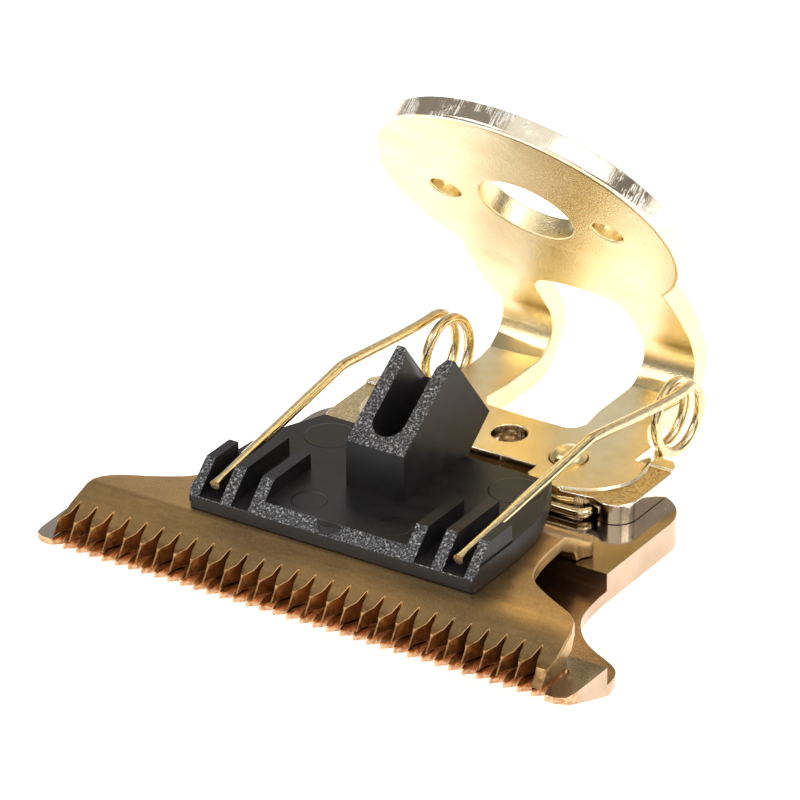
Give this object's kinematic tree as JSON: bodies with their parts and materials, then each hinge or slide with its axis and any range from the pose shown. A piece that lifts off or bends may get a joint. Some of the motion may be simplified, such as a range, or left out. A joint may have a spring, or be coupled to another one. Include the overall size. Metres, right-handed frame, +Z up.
{
  "type": "beard trimmer cutting head",
  "caption": "T-shaped trimmer cutting head: a toothed blade slides over a fixed blade, driven through a slotted fork, under a bent motor bracket with a wire torsion spring.",
  "frame": {"origin": "centre of the bounding box's base", "axes": "+X across the teeth (the cutter's slide direction), +Y from the tooth tips to the rear, +Z up from the blade's underside; X = 0 is the plane of symmetry"},
  "size_m": [0.04, 0.0384, 0.0286],
  "materials": {
    "fixed_blade": "gold-bronze coated steel, ground and polished",
    "moving_blade": "satin bronze-gold coated steel",
    "drive_fork": "black satin moulding, spark-eroded on the inclined faces",
    "mounting_bracket": "mirror-polished pale gold plating on steel",
    "torsion_spring": "gold-plated spring wire",
    "blade_screw": "gold-plated steel"
  },
  "bodies": {
    "frame": {"fixed_blade": "fixed_blade", "mounting_bracket": "mounting_bracket", "blade_screw_left": "blade_screw", "blade_screw_right": "blade_screw", "torsion_spring": "torsion_spring"},
    "cutter": {"moving_blade": "moving_blade", "drive_fork": "drive_fork"}
  },
  "joints": [
    {"name": "cutter_slide", "type": "slide", "parent": "frame", "child": "cutter", "axis": [1, 0, 0], "range_m": [-0.00095, 0.00145], "stiffness_N_per_m": 500, "deforming": ["torsion_spring"]}
  ]
}
